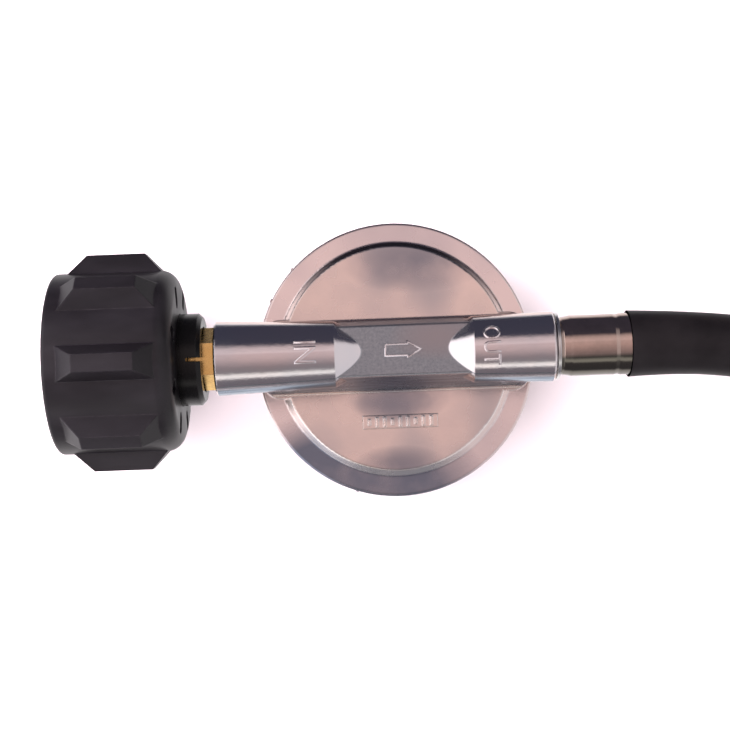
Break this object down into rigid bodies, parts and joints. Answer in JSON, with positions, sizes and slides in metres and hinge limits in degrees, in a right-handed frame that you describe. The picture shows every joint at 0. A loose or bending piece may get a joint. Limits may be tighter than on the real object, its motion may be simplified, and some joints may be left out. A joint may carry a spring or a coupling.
{
  "type": "low-pressure gas regulator with hose",
  "caption": "Low-pressure LP gas regulator: black hand nut, round cast casing with a diaphragm valve inside, and a rubber hose that ends in a brass flare nut.",
  "frame": {"origin": "centre of the spring tower's flat end, which the regulator rests on", "axes": "+X along the gas flow from the hand nut to the hose, +Z from the vented cover towards the cast back plate"},
  "size_m": [0.3505, 0.1704, 0.0563],
  "materials": {
    "cast_metal": "bright die-cast skin, lightly tumbled",
    "brass": "turned brass",
    "nickel_plate": "warm nickel plate",
    "plated_steel": "bright zinc plate",
    "hose_rubber": "smooth extruded rubber, semi-matte",
    "seal_rubber": "matte",
    "spring_steel": "drawn and stamped steel",
    "screen_steel": "woven wire",
    "adjuster_plastic": "moulded natural plastic",
    "cap_plastic": "moulded black plastic",
    "poppet_plastic": "moulded acetal",
    "bushing_plastic": "moulded black plastic, satin",
    "nut_plastic": "moulded black plastic, satin"
  },
  "bodies": {
    "casing": {"body_casting": "cast_metal", "cover": "cast_metal", "vent_screen": "screen_steel", "diaphragm": "seal_rubber", "seal_cap": "cap_plastic", "orifice": "brass", "lever_pin": "spring_steel", "main_spring": "spring_steel", "inlet_nipple": "brass", "nipple_seal": "seal_rubber", "poppet_retainer": "spring_steel", "poppet_spring": "spring_steel", "outlet_fitting": "plated_steel", "outlet_ferrule": "nickel_plate", "crimped_end": "hose_rubber", "hose": "hose_rubber", "hose_coil": "hose_rubber", "far_ferrule": "nickel_plate", "crimped_end_far": "hose_rubber", "flare_stem": "brass"},
    "bushing": {"thermal_bushing": "bushing_plastic"},
    "nut": {"coupling_nut": "nut_plastic"},
    "diaphragm_group": {"diaphragm_plate": "spring_steel", "diaphragm_stem": "brass"},
    "lever": {"valve_lever": "spring_steel", "valve_pad": "seal_rubber"},
    "spring_seat": {"spring_seat": "spring_steel"},
    "adjusting_nut": {"adjusting_nut": "adjuster_plastic"},
    "poppet": {"flow_poppet": "poppet_plastic"},
    "swivel": {"swivel_nut": "brass"}
  },
  "joints": [
    {"name": "nut_slide", "type": "slide", "parent": "casing", "child": "bushing", "axis": [1, 0, 0], "range_m": [0, 0.0024]},
    {"name": "nut_spin", "type": "hinge", "parent": "bushing", "child": "nut", "pos_m": [-0.067, 0, 0.03], "axis": [1, 0, 0], "continuous": true},
    {"name": "diaphragm_lift", "type": "slide", "parent": "casing", "child": "diaphragm_group", "axis": [0, 0, 1], "range_m": [-0.0016, 0], "stiffness_N_per_m": 800, "springref_m": 0.0025, "deforming": ["diaphragm", "main_spring"]},
    {"name": "lever_swing", "type": "hinge", "parent": "casing", "child": "lever", "pos_m": [-0.0126, 0, 0.0329], "axis": [0, 1, 0], "range_deg": [0, 7.3]},
    {"name": "seat_travel", "type": "slide", "parent": "casing", "child": "spring_seat", "axis": [0, 0, 1], "range_m": [-0.00101, 0.00101], "deforming": ["main_spring"]},
    {"name": "adjusting_turn", "type": "hinge", "parent": "spring_seat", "child": "adjusting_nut", "pos_m": [0, 0, 0.0046], "axis": [0, 0, 1], "range_deg": [-360, 360]},
    {"name": "poppet_slide", "type": "slide", "parent": "casing", "child": "poppet", "axis": [1, 0, 0], "range_m": [0, 0.0015], "stiffness_N_per_m": 60, "springref_m": -0.003, "deforming": ["poppet_spring"]},
    {"name": "swivel_spin", "type": "hinge", "parent": "casing", "child": "swivel", "pos_m": [0.12449, 0.11224, 0.01315], "axis": [-0.9496, -0.3098, 0.0474], "continuous": true}
  ],
  "couplings": [
    {"joint": "lever_swing", "follows": "diaphragm_lift", "rad_per_m": -79.365},
    {"joint": "seat_travel", "follows": "adjusting_turn", "m_per_rad": 0.00015915}
  ]
}
